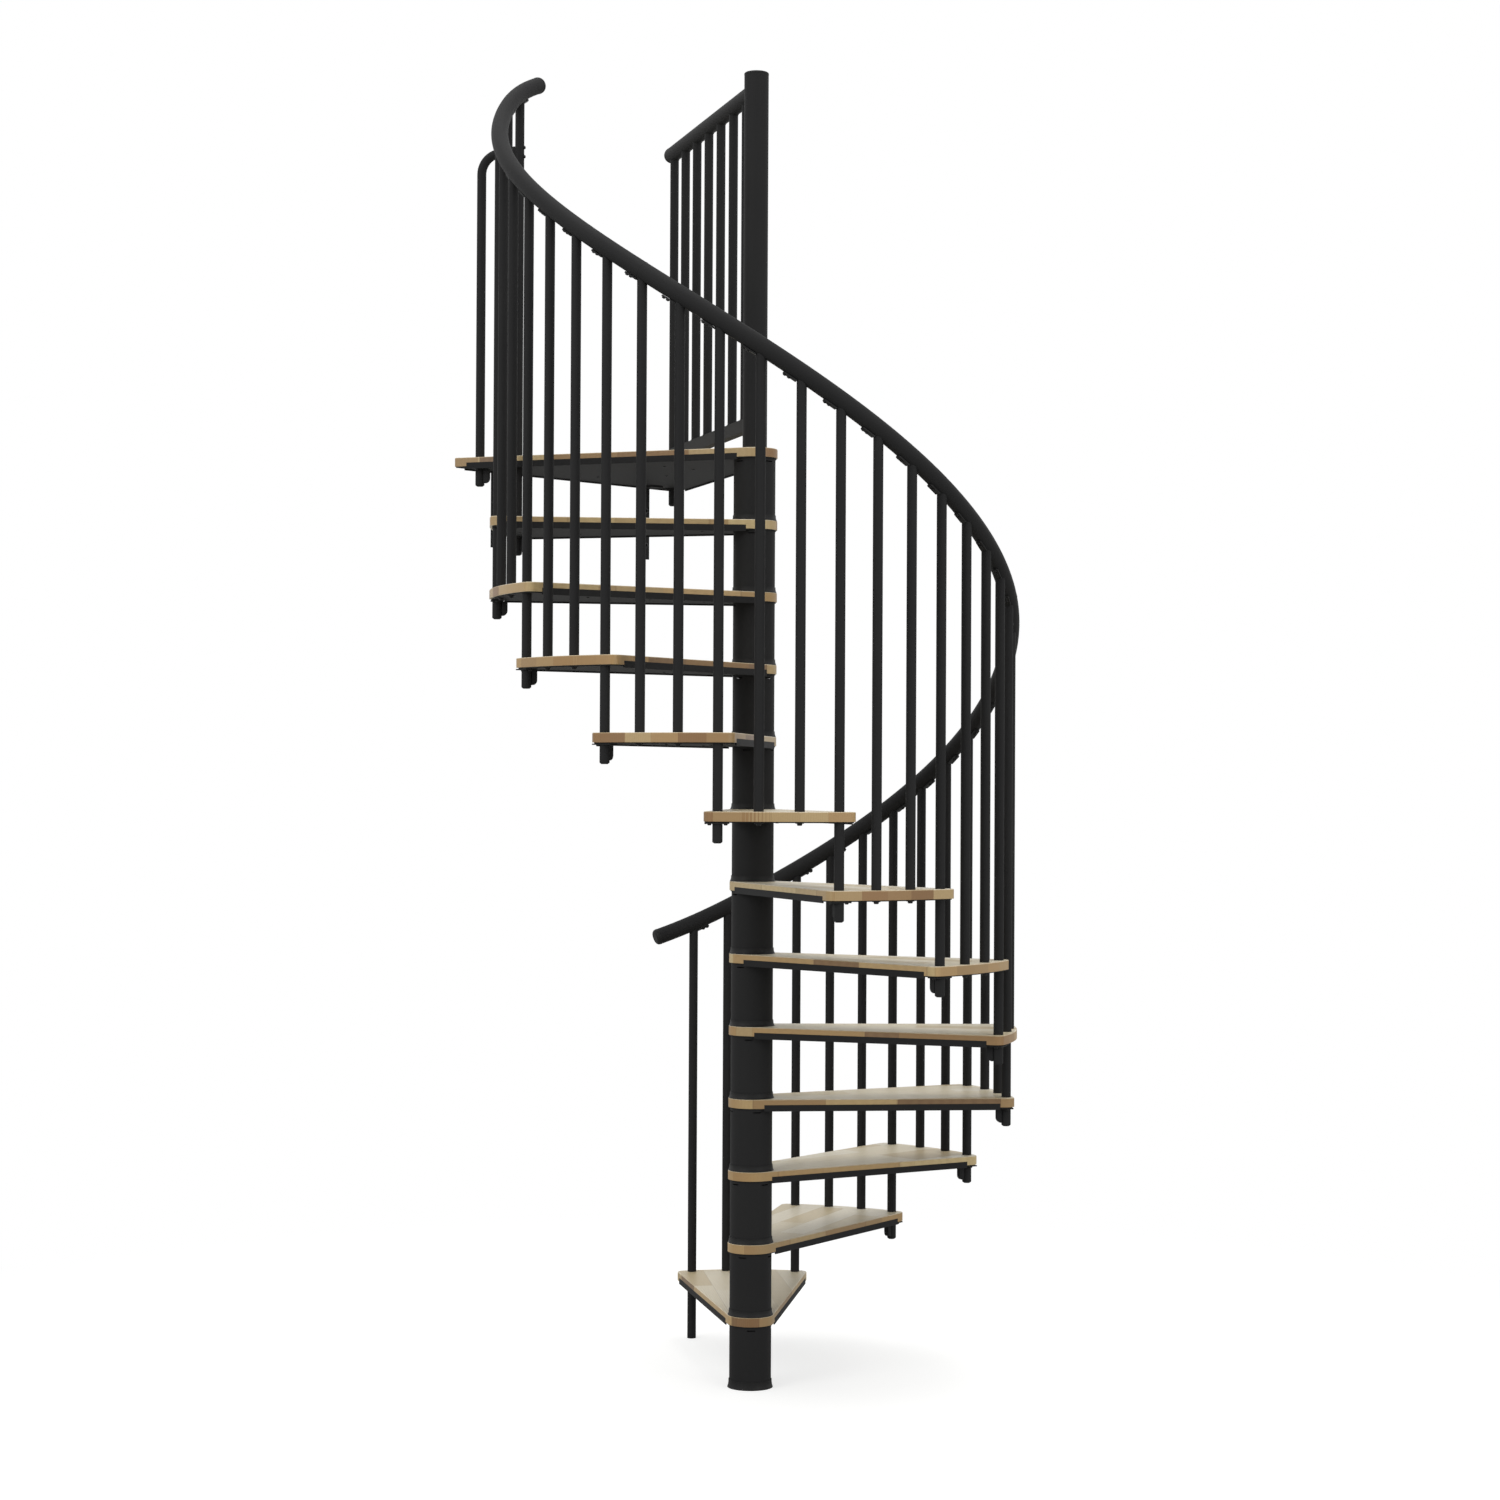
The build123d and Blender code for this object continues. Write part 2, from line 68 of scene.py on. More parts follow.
# Landing
landing_half_angle = 30.0
landing_reach = 0.857
landing_rail_inset = 0.042
landing_rail_height = 0.958
landing_corner_bar = 0.808
landing_rail_overrun = 0.031
landing_first_bar = 0.091
landing_bars = 7
bottom_rail_top = 0.0895
safety_bar_inset = 0.034
safety_bar_circle = 0.790
safety_bar_height = 0.835
fixing_plate_drop = 0.237
fixing_lowest_hole = 0.040
fixing_hole_spacing = 0.100
fixing_plate_spacing = 0.550
fixing_plate_thickness = 0.005

# Viewpoint of the photograph, round the column
camera_azimuth = -44.46
camera_distance = 7.6003
camera_height = 1.5993
camera_yaw = 0.064
camera_pitch = 0.644
camera_roll = 0.29
camera_lens = 68.73

down = Vector((0.0, 0.0, -1.0))
up = Vector((0.0, 0.0, 1.0))
white = (1.0, 1.0, 1.0, 1.0)


def place(radius, bearing, height=0.0):
    """Point at a radius from the column's axis and a bearing clockwise from +Y."""
    angle = radians(bearing)
    return Vector((radius * sin(angle), radius * cos(angle), height))


def edge_lean(inset, radius):
    """Angle between a hub-tangent edge and a point that stands the inset inside it."""
    return degrees(asin((hub_radius - inset) / radius))


landing_edge = degrees(asin(hub_radius / landing_reach)) - landing_half_angle
last_joint = landing_edge - edge_lean(nose_inset, bar_circle)
landing_rail_bearing = edge_lean(landing_rail_inset, landing_corner_bar) - landing_edge
safety_bar_bearing = landing_edge - edge_lean(safety_bar_inset, safety_bar_circle)
slab_edge = landing_reach * cos(radians(landing_half_angle))


def bar_bearing(step):
    """Bearing of a baluster, counted from the first one."""
    return last_joint - tread_count * tread_turn + step * bar_turn


def tray_underside(index):
    """Height of a tray's underside; the landing's tray counts as the last one."""
    return index * rise - board_thickness - tray_plate


def rail_point(step):
    """Point of the handrail's centre line, above a step counted in balusters."""
    level = (step / bars_per_tread + 1.0) * rise + rail_height
    share = step / rail_joints[0]
    if share < 1.0:
        # The first length hangs below the helix, most at a third of it, where the cubic reaches 4/27
        level -= rail_sag * 27.0 / 4.0 * share * (1.0 - share) ** 2
    if step < lower_easing_from:
        level += lower_easing_lift * (lower_easing_from - step) ** 2
    if step > upper_easing_from:
        level -= upper_easing_drop * (step - upper_easing_from) ** 2
    return place(bar_circle, bar_bearing(step), level)


def rail_direction(step):
    """Unit tangent of the handrail, pointing uphill."""
    reach = 0.01
    return (rail_point(step + reach) - rail_point(step - reach)).normalized()


def linear(code):
    """A colour written as sRGB hex, in linear light."""
    parts = [int(code[i : i + 2], 16) / 255.0 for i in (1, 3, 5)]
    return tuple(p / 12.92 if p <= 0.04045 else ((p + 0.055) / 1.055) ** 2.4 for p in parts) + (1.0,)


def node(tree, kind, inputs=None, **settings):
    """Adds a node with its settings and fills its inputs, each found by its name or number.

    An input takes a plain value, an output of another node, or a node, which gives its first open output.
    """
    made = tree.nodes.new(kind)
    for name, value in settings.items():
        setattr(made, name, value)
    for key, value in (inputs or {}).items():
        if isinstance(value, bpy.types.Node):
            value = next(output for output in value.outputs if output.enabled)
        if isinstance(value, bpy.types.NodeSocket):
            tree.links.new(value, made.inputs[key])
        else:
            made.inputs[key].default_value = value
    return made


def new_material(name):
    """An empty node material and its tree."""
    material = bpy.data.materials.new(name)
    material.use_nodes = True
    material.node_tree.nodes.clear()
    return material, material.node_tree


def two_blacks(tree, patches, dark, light, texture, smooth, rough):
    """A colour between two near-blacks, mixed by the patches, and a roughness that follows the texture."""
    tone = node(tree, "ShaderNodeMix", {"Factor": patches, "A": linear(dark), "B": linear(light)},
                data_type="RGBA")
    dull = node(tree, "ShaderNodeMapRange", {"Value": texture, "To Min": smooth, "To Max": rough})
    return tone, dull


def powder_coated_steel():
    """Polyester powder coat, baked on folded and drawn steel: a dull black with a fine, even orange peel."""
    # The real peel is about 1 mm across; it is drawn at 3 mm so that it shows
    peel_size = 0.003
    cloud_size = 0.220
    material, tree = new_material("powder_coated_steel")
    spot = node(tree, "ShaderNodeTexCoord").outputs["Object"]
    peel = node(tree, "ShaderNodeTexNoise", {"Vector": spot, "Scale": 1.0 / peel_size, "Detail": 3.0})
    clouds = node(tree, "ShaderNodeTexNoise", {"Vector": spot, "Scale": 1.0 / cloud_size, "Detail": 2.0})
    tone, dull = two_blacks(tree, clouds, "#212122", "#272727", peel, 0.58, 0.70)
    bump = node(tree, "ShaderNodeBump", {"Strength": 0.12, "Distance": 0.0004, "Height": peel})
    shader = node(tree, "ShaderNodeBsdfPrincipled", {
        "Base Color": tone, "Roughness": dull, "Specular IOR Level": 0.12, "Normal": bump,
    })
    node(tree, "ShaderNodeOutputMaterial", {"Surface": shader})
    return material


def moulded_nylon():
    """Injection-moulded black nylon of the collars, saddles and plugs: smoother and darker than the steel."""
    # Spark-eroded mould texture, 0.6 mm on the real parts, drawn at 2 mm so that it shows
    grain_size = 0.002
    material, tree = new_material("moulded_nylon")
    spot = node(tree, "ShaderNodeTexCoord").outputs["Object"]
    grain = node(tree, "ShaderNodeTexNoise", {"Vector": spot, "Scale": 1.0 / grain_size, "Detail": 2.0})
    tone, dull = two_blacks(tree, grain, "#1E1E1E", "#242424", grain, 0.46, 0.58)
    bump = node(tree, "ShaderNodeBump", {"Strength": 0.08, "Distance": 0.0003, "Height": grain})
    shader = node(tree, "ShaderNodeBsdfPrincipled", {
        "Base Color": tone, "Roughness": dull, "Specular IOR Level": 0.16, "Normal": bump,
    })
    node(tree, "ShaderNodeOutputMaterial", {"Surface": shader})
    return material


def black_oxide_steel():
    """Blackened steel of the screws: dark, a little metallic, so that the heads catch the light."""
    mottle_size = 0.004
    material, tree = new_material("black_oxide_steel")
    spot = node(tree, "ShaderNodeTexCoord").outputs["Object"]
    mottle = node(tree, "ShaderNodeTexNoise", {"Vector": spot, "Scale": 1.0 / mottle_size, "Detail": 2.0})
    tone, dull = two_blacks(tree, mottle, "#1E1E1F", "#2A2A2A", mottle, 0.34, 0.48)
    shader = node(tree, "ShaderNodeBsdfPrincipled", {
        "Base Color": tone, "Roughness": dull, "Metallic": 0.4, "Specular IOR Level": 0.25,
    })
    node(tree, "ShaderNodeOutputMaterial", {"Surface": shader})
    return material


def stave_layout(tree, turned, seed):
    """Staves that run out from the column, and blocks joined end to end in them by short fingers.

    Returns the random draws of each block, as a value and as a colour, and a mask of the glue lines.
    """
    stave_width = 0.070
    block_length = 0.300
    finger_pitch = 0.009
    finger_depth = 0.006
    # A stave's middle lies on the board's middle line, moved on a little from board to board
    middle_stave = 20.5 + 0.13 * seed
    # Keeps the draws of one board apart from the next one's
    first_draw = 37.0 * seed
    # The blocks of neighbouring staves start up to this many blocks apart
    stagger = 7.0
    axes = node(tree, "ShaderNodeSeparateXYZ", {"Vector": turned}).outputs
    across, along = axes["X"], axes["Y"]
    widths = node(tree, "ShaderNodeMath", {0: across, 1: stave_width}, operation="DIVIDE")
    stave = node(tree, "ShaderNodeMath", {0: widths, 1: middle_stave}, operation="ADD")
    row = node(tree, "ShaderNodeMath", {0: stave}, operation="FLOOR")
    draw = node(tree, "ShaderNodeMath", {0: row, 1: first_draw}, operation="ADD")
    start = node(tree, "ShaderNodeTexWhiteNoise", {"W": draw}, noise_dimensions="1D").outputs["Value"]
    lengths = node(tree, "ShaderNodeMath", {0: along, 1: block_length}, operation="DIVIDE")
    staggered = node(tree, "ShaderNodeMath", {0: start, 1: stagger}, operation="MULTIPLY")
    reach = node(tree, "ShaderNodeMath", {0: lengths, 1: staggered}, operation="ADD")
    finger = node(tree, "ShaderNodeMath", {0: across, 1: finger_pitch / 2.0}, operation="PINGPONG")
    steepness = finger_depth / (finger_pitch / 2.0) / block_length
    fingered = node(tree, "ShaderNodeMath", {0: finger, 1: steepness}, operation="MULTIPLY")
    block = node(tree, "ShaderNodeMath", {0: reach, 1: fingered}, operation="ADD")
    column = node(tree, "ShaderNodeMath", {0: block}, operation="FLOOR")
    cell = node(tree, "ShaderNodeCombineXYZ", {"X": row, "Y": column, "Z": float(seed)})
    chance = node(tree, "ShaderNodeTexWhiteNoise", {"Vector": cell}, noise_dimensions="3D").outputs
    # Glue lines are drawn 1 mm wide, several times the real ones, so that they show
    glue_line = 0.001
    seams = []
    for count, size in ((stave, stave_width), (block, block_length)):
        gap = node(tree, "ShaderNodeMath", {0: count, 1: 0.5}, operation="PINGPONG")
        seams.append(node(tree, "ShaderNodeMath", {0: gap, 1: glue_line / 2.0 / size}, operation="LESS_THAN"))
    glue = node(tree, "ShaderNodeMath", {0: seams[0], 1: seams[1]}, operation="MAXIMUM")
    return chance, glue


def block_tones(tree, draw):
    """Colours of a block's top, painted pale as if lit, and of its sides, painted dark as if shaded, over the
    same five draws.
    """
    draws = (0.0, 0.3, 0.55, 0.8, 1.0)
    # Painted light and shade: the tops are paler and the sides darker than the wood itself, for light from
    # above and shade on the sides
    lit_top_colours = ("#EBE1C6", "#E4D8B9", "#F0E8D2", "#DECFAB", "#D1BF98")
    shaded_side_colours = ("#BFA270", "#A58350", "#C9B483", "#8E6C40", "#6E5334")
    ramps = []
    for colours in (lit_top_colours, shaded_side_colours):
        ramp = node(tree, "ShaderNodeValToRGB", {"Fac": draw})
        stops = ramp.color_ramp.elements
        while len(stops) < len(draws):
            stops.new(0.5)
        for stop, position, code in zip(stops, draws, colours):
            stop.position = position
            stop.color = linear(code)
        ramps.append(ramp)
    return ramps


def finger_jointed_hardwood(name, bearing, seed):
    """Lacquered hardwood board glued up from staves, satin: painted light makes the top pale and even,
    painted shade makes the cut sides browner.

    Each block has its own tone, grain and pores.
    """
    # Fibres and pores are drawn much coarser than real ones, so that they show
    fibre_size = 0.0028
    pore_size = 0.0016
    grain_squeeze = (1.0, 0.075, 1.0)
    ring_spacing = 0.005655
    # Each block takes its grain from a place of its own, up to 3 m away
    grain_shift = (3.0, 3.0, 3.0)
    pore_share_of_relief = 0.6
    material, tree = new_material(name)
    spot = node(tree, "ShaderNodeTexCoord").outputs["Object"]
    turned = node(tree, "ShaderNodeMapping", {"Vector": spot, "Rotation": (0.0, 0.0, radians(bearing))})
    chance, glue = stave_layout(tree, turned, seed)
    # Fibres, rings and pores run along the stave
    shift = node(tree, "ShaderNodeVectorMath", {0: chance["Color"], 1: grain_shift}, operation="MULTIPLY")
    squeezed = node(tree, "ShaderNodeVectorMath", {0: turned, 1: grain_squeeze}, operation="MULTIPLY")
    moved = node(tree, "ShaderNodeVectorMath", {0: squeezed, 1: shift}, operation="ADD")
    fibre = node(tree, "ShaderNodeTexNoise",
                 {"Vector": moved, "Scale": 1.0 / fibre_size, "Detail": 4.0, "Roughness": 0.62})
    rings = node(tree, "ShaderNodeTexWave",
                 {"Vector": moved, "Scale": pi / 10.0 / ring_spacing, "Distortion": 5.0, "Detail": 2.0,
                  "Detail Scale": 0.9}, wave_type="BANDS", bands_direction="X").outputs["Fac"]
    pore = node(tree, "ShaderNodeTexNoise", {"Vector": moved, "Scale": 1.0 / pore_size, "Detail": 1.0})
    pores = node(tree, "ShaderNodeMapRange", {"Value": pore, "From Min": 0.66, "From Max": 0.76})
    # Painted light and shade: the top is painted pale and even as if lit from above with a sheen, the cut
    # sides darker as if shaded; both keep each block's own tone
    lit_top_tone, shaded_side_tone = block_tones(tree, chance["Value"])
    facing = node(tree, "ShaderNodeNewGeometry").outputs["Normal"]
    tilt = node(tree, "ShaderNodeSeparateXYZ", {"Vector": facing}).outputs["Z"]
    upward = node(tree, "ShaderNodeMath", {0: tilt}, operation="ABSOLUTE")
    lit_top_share = node(tree, "ShaderNodeMapRange", {"Value": upward, "From Min": 0.3, "From Max": 0.9})
    tone = node(tree, "ShaderNodeMix", {"Factor": lit_top_share, "A": shaded_side_tone, "B": lit_top_tone}, data_type="RGBA")
    # End grain on the outer arc drinks more lacquer and turns darker; the same darkening also stands in for
    # painted shade on these upright faces
    outward = tuple(place(1.0, bearing))
    end_on = node(tree, "ShaderNodeVectorMath", {0: facing, 1: outward}, operation="DOT_PRODUCT")
    squarely = node(tree, "ShaderNodeMath", {0: end_on}, operation="ABSOLUTE")
    end_grain_and_shade = node(tree, "ShaderNodeMapRange", {"Value": squarely, "From Min": 0.5, "From Max": 0.95})
    fibres = node(tree, "ShaderNodeMapRange", {"Value": fibre, "From Min": 0.3, "From Max": 0.75})
    # Each mask darkens the block with its stain, up to its strength; the end grain's share is partly painted
    # shade
    stains = (
        (rings, 0.16, "#9A7C54"), (fibres, 0.16, "#7D5C38"), (pores, 0.22, "#5E4226"),
        (end_grain_and_shade, 0.30, "#8A6136"), (glue, 0.30, "#6B4D2E"),
    )
    for mask, strength, code in stains:
        share = node(tree, "ShaderNodeMath", {0: mask, 1: strength}, operation="MULTIPLY")
        tone = node(tree, "ShaderNodeMix", {"Factor": share, "A": tone, "B": linear(code)}, data_type="RGBA")
    dull = node(tree, "ShaderNodeMapRange", {"Value": fibre, "To Min": 0.50, "To Max": 0.62})
    pore_depth = node(tree, "ShaderNodeMath", {0: pores, 1: pore_share_of_relief}, operation="MULTIPLY")
    relief = node(tree, "ShaderNodeMath", {0: fibre, 1: pore_depth}, operation="SUBTRACT")
    bump = node(tree, "ShaderNodeBump", {"Strength": 0.15, "Distance": 0.0003, "Height": relief})
    shader = node(tree, "ShaderNodeBsdfPrincipled", {
        "Base Color": tone, "Roughness": dull, "Coat Weight": 0.27, "Coat Roughness": 0.35, "Normal": bump,
    })
    node(tree, "ShaderNodeOutputMaterial", {"Surface": shader})
    return material


steel = powder_coated_steel()
nylon = moulded_nylon()
screw_steel = black_oxide_steel()


def dress_frame():
    """Gives every CAD node its finish; each board gets its own staves, turned to its bearing."""
    nylon_nodes = {"post_cap", "spacer_collars", "rail_end_caps", "rail_saddles"}
    boards = 0
    for name in sorted(nodes):
        piece = nodes[name]
        finish = nylon if name in nylon_nodes else steel
        if name.endswith("board"):
            boards += 1
            middle = sum((vertex.co for vertex in piece.data.vertices), Vector()) / len(piece.data.vertices)
            bearing = degrees(atan2(middle.x, middle.y))
            finish = finger_jointed_hardwood(f"finger_jointed_hardwood_{boards:02d}", bearing, boards)
        for slot in piece.material_slots:
            slot.material = finish


def new_tree(name, sizes):
    """A geometry tree fed with places, the named sizes and a material; returns it and what it is given."""
    tree = bpy.data.node_groups.new(name, "GeometryNodeTree")
    kinds = {"Places": "Geometry"} | {size: "Float" for size in sizes} | {"Material": "Material"}
    for label, kind in kinds.items():
        tree.interface.new_socket(name=label, in_out="INPUT", socket_type="NodeSocket" + kind)
    tree.interface.new_socket(name="Geometry", in_out="OUTPUT", socket_type="NodeSocketGeometry")
    return tree, node(tree, "NodeGroupInput").outputs


def close_tree(tree, given, shape):
    """Puts the shape on every place, turned by its attributes, realized, shaded and given its material."""
    sharp_from = radians(32.0)
    axis = node(tree, "GeometryNodeInputNamedAttribute", {"Name": "axis"}, data_type="FLOAT_VECTOR")
    turn = node(tree, "GeometryNodeInputNamedAttribute", {"Name": "turn"}, data_type="FLOAT")
    aim = node(tree, "FunctionNodeAlignRotationToVector", {"Vector": axis}, axis="Z")
    angles = node(tree, "ShaderNodeCombineXYZ", {"Z": turn})
    spin = node(tree, "FunctionNodeEulerToRotation", {"Euler": angles})
    rotation = node(tree, "FunctionNodeRotateRotation", {"Rotation": aim, "Rotate By": spin},
                    rotation_space="LOCAL")
    put = node(tree, "GeometryNodeInstanceOnPoints",
               {"Points": given["Places"], "Instance": shape, "Rotation": rotation})
    real = node(tree, "GeometryNodeRealizeInstances", {"Geometry": put})
    angle = node(tree, "GeometryNodeInputMeshEdgeAngle").outputs["Unsigned Angle"]
    sharp = node(tree, "FunctionNodeCompare", {"A": angle, "B": sharp_from},
                 data_type="FLOAT", operation="GREATER_THAN")
    soft = node(tree, "GeometryNodeSetShadeSmooth", {"Geometry": real, "Shade Smooth": True}, domain="FACE")
    crisp = node(tree, "GeometryNodeSetShadeSmooth",
                 {"Geometry": soft, "Selection": sharp, "Shade Smooth": False}, domain="EDGE")
    done = node(tree, "GeometryNodeSetMaterial", {"Geometry": crisp, "Material": given["Material"]})
    node(tree, "NodeGroupOutput", {"Geometry": done})
    return tree


def screw_washer(tree, given, sides):
    """A washer that stands on the place; a thickness of nothing leaves it out."""
    least_thickness = 0.0001
    disc = node(tree, "GeometryNodeMeshCylinder",
                {"Vertices": sides, "Radius": given["Washer Radius"], "Depth": given["Washer Thickness"]})
    middle = node(tree, "ShaderNodeMath", {0: given["Washer Thickness"], 1: 0.5}, operation="MULTIPLY")
    lift = node(tree, "ShaderNodeCombineXYZ", {"Z": middle})
    washer = node(tree, "GeometryNodeTransform", {"Geometry": disc, "Translation": lift})
    thick_enough = node(tree, "FunctionNodeCompare", {"A": given["Washer Thickness"], "B": least_thickness},
                        data_type="FLOAT", operation="GREATER_THAN")
    return node(tree, "GeometryNodeSwitch", {"Switch": thick_enough, "True": washer}, input_type="GEOMETRY")


def pan_head(tree, given, half_height, sides):
    """A low drum whose top draws in twice to a flat rim; returns the mesh and its last top face."""
    shoulder_rise, shoulder_draw = 0.65, 0.88
    crown_rise, crown_draw = 0.35, 0.78
    drum = node(tree, "GeometryNodeMeshCylinder",
                {"Vertices": sides, "Radius": given["Head Radius"], "Depth": half_height})
    head, top = drum, drum.outputs["Top"]
    for rise_share, draw in ((shoulder_rise, shoulder_draw), (crown_rise, crown_draw)):
        step = node(tree, "ShaderNodeMath", {0: half_height, 1: rise_share}, operation="MULTIPLY")
        raised = node(tree, "GeometryNodeExtrudeMesh",
                      {"Mesh": head, "Selection": top, "Offset Scale": step}, mode="FACES")
        top = raised.outputs["Top"]
        head = node(tree, "GeometryNodeScaleElements",
                    {"Geometry": raised, "Selection": top, "Scale": draw}, domain="FACE")
    rim = node(tree, "GeometryNodeExtrudeMesh", {"Mesh": head, "Selection": top, "Offset Scale": 0.0},
               mode="FACES")
    return rim, rim.outputs["Top"]


def hexagon(tree, corner_radius):
    """Positions of a round rim's points, moved in to a hexagon of the given corner radius."""
    sixth = pi / 3.0
    spot = node(tree, "GeometryNodeInputPosition")
    axes = node(tree, "ShaderNodeSeparateXYZ", {"Vector": spot}).outputs
    angle = node(tree, "ShaderNodeMath", {0: axes["Y"], 1: axes["X"]}, operation="ARCTAN2")
    folded = node(tree, "ShaderNodeMath", {0: angle, 1: sixth}, operation="FLOORED_MODULO")
    off_middle = node(tree, "ShaderNodeMath", {0: folded, 1: sixth / 2.0}, operation="SUBTRACT")
    flat_radius = node(tree, "ShaderNodeMath", {0: corner_radius, 1: cos(sixth / 2.0)}, operation="MULTIPLY")
    slant = node(tree, "ShaderNodeMath", {0: off_middle}, operation="COSINE")
    reach = node(tree, "ShaderNodeMath", {0: flat_radius, 1: slant}, operation="DIVIDE")
    moved = {"Z": axes["Z"]}
    for axis, operation in (("X", "COSINE"), ("Y", "SINE")):
        share = node(tree, "ShaderNodeMath", {0: angle}, operation=operation)
        moved[axis] = node(tree, "ShaderNodeMath", {0: reach, 1: share}, operation="MULTIPLY")
    return node(tree, "ShaderNodeCombineXYZ", moved)


def socket_screw_tree():
    """A pan-head screw with a hexagon socket, on a washer if it has one."""
    sides = 24
    socket_depth_share = 0.5
    tree, given = new_tree("socket_screws", (
        "Head Radius", "Head Height", "Socket Radius", "Washer Radius", "Washer Thickness",
    ))
    half_height = node(tree, "ShaderNodeMath", {0: given["Head Height"], 1: 0.5}, operation="MULTIPLY")
    head, top = pan_head(tree, given, half_height, sides)
    cut = node(tree, "GeometryNodeSetPosition",
               {"Geometry": head, "Selection": top, "Position": hexagon(tree, given["Socket Radius"])})
    depth = node(tree, "ShaderNodeMath", {0: given["Head Height"], 1: -socket_depth_share},
                 operation="MULTIPLY")
    bored = node(tree, "GeometryNodeExtrudeMesh", {"Mesh": cut, "Selection": top, "Offset Scale": depth},
                 mode="FACES")
    drum_middle = node(tree, "ShaderNodeMath", {0: half_height, 1: 0.5}, operation="MULTIPLY")
    level = node(tree, "ShaderNodeMath", {0: given["Washer Thickness"], 1: drum_middle}, operation="ADD")
    lift = node(tree, "ShaderNodeCombineXYZ", {"Z": level})
    seated = node(tree, "GeometryNodeTransform", {"Geometry": bored, "Translation": lift})
    screw = node(tree, "GeometryNodeJoinGeometry")
    for part in (screw_washer(tree, given, sides), seated):
        tree.links.new(part.outputs[0], screw.inputs[0])
    return close_tree(tree, given, screw)


def weld_tree():
    """A weld bead round a bar: a ring that follows a flat or a round rail, with an uneven surface."""
    ring_points = 40
    bead_points = 8
    ripple_spacing = 0.002
    tree, given = new_tree("weld_beads", ("Ring Radius", "Bead Radius", "Rail Radius"))
    ring = node(tree, "GeometryNodeCurvePrimitiveCircle",
                {"Resolution": ring_points, "Radius": given["Ring Radius"]}, mode="RADIUS")
    # On a round rail of radius R the bead dips away from the crown by R - sqrt(R * R - y * y)
    rail = given["Rail Radius"]
    spot = node(tree, "GeometryNodeInputPosition")
    offside = node(tree, "ShaderNodeSeparateXYZ", {"Vector": spot}).outputs["Y"]
    square = node(tree, "ShaderNodeMath", {0: offside, 1: offside}, operation="MULTIPLY")
    rail_square = node(tree, "ShaderNodeMath", {0: rail, 1: rail}, operation="MULTIPLY")
    inside = node(tree, "ShaderNodeMath", {0: rail_square, 1: square}, operation="SUBTRACT")
    positive = node(tree, "ShaderNodeMath", {0: inside, 1: 0.0}, operation="MAXIMUM")
    root = node(tree, "ShaderNodeMath", {0: positive}, operation="SQRT")
    dip = node(tree, "ShaderNodeMath", {0: rail, 1: root}, operation="SUBTRACT")
    fall = node(tree, "ShaderNodeMath", {0: dip, 1: -1.0}, operation="MULTIPLY")
    sink = node(tree, "ShaderNodeCombineXYZ", {"Z": fall})
    bent = node(tree, "GeometryNodeSetPosition", {"Geometry": ring, "Offset": sink})
    section = node(tree, "GeometryNodeCurvePrimitiveCircle",
                   {"Resolution": bead_points, "Radius": given["Bead Radius"]}, mode="RADIUS")
    bead = node(tree, "GeometryNodeCurveToMesh", {"Curve": bent, "Profile Curve": section})
    # Ripples of the weld pool, up to a quarter of the bead's radius
    ripple = node(tree, "ShaderNodeTexNoise", {"Scale": 1.0 / ripple_spacing, "Detail": 1.0},
                  noise_dimensions="3D")
    centred = node(tree, "ShaderNodeMath", {0: ripple, 1: 0.5}, operation="SUBTRACT")
    half_bead = node(tree, "ShaderNodeMath", {0: given["Bead Radius"], 1: 0.5}, operation="MULTIPLY")
    swell = node(tree, "ShaderNodeMath", {0: centred, 1: half_bead}, operation="MULTIPLY")
    outward = node(tree, "GeometryNodeInputNormal")
    push = node(tree, "ShaderNodeVectorMath", {0: outward, "Scale": swell}, operation="SCALE")
    rippled = node(tree, "GeometryNodeSetPosition", {"Geometry": bead, "Offset": push})
    return close_tree(tree, given, rippled)


def band_tree():
    """A plain disc with bevelled edges: plugs in bars and joint rings on the handrail."""
    sides = 40
    tree, given = new_tree("bands", ("Radius", "Height", "Rounding"))
    both_edges = node(tree, "ShaderNodeMath", {0: given["Rounding"], 1: 2.0}, operation="MULTIPLY")
    straight = node(tree, "ShaderNodeMath", {0: given["Height"], 1: both_edges}, operation="SUBTRACT")
    body = node(tree, "GeometryNodeMeshCylinder",
                {"Vertices": sides, "Radius": given["Radius"], "Depth": straight})
    ends = node(tree, "FunctionNodeBooleanMath", {0: body.outputs["Top"], 1: body.outputs["Bottom"]},
                operation="OR")
    raised = node(tree, "GeometryNodeExtrudeMesh",
                  {"Mesh": body, "Selection": ends, "Offset Scale": given["Rounding"], "Individual": True},
                  mode="FACES")
    radius = given["Radius"]
    end_radius = node(tree, "ShaderNodeMath", {0: radius, 1: given["Rounding"]}, operation="SUBTRACT")
    share = node(tree, "ShaderNodeMath", {0: end_radius, 1: radius}, operation="DIVIDE")
    bevelled = node(tree, "GeometryNodeScaleElements",
                    {"Geometry": raised, "Selection": raised.outputs["Top"], "Scale": share}, domain="FACE")
    return close_tree(tree, given, bevelled)


screws = socket_screw_tree()
welds = weld_tree()
bands = band_tree()


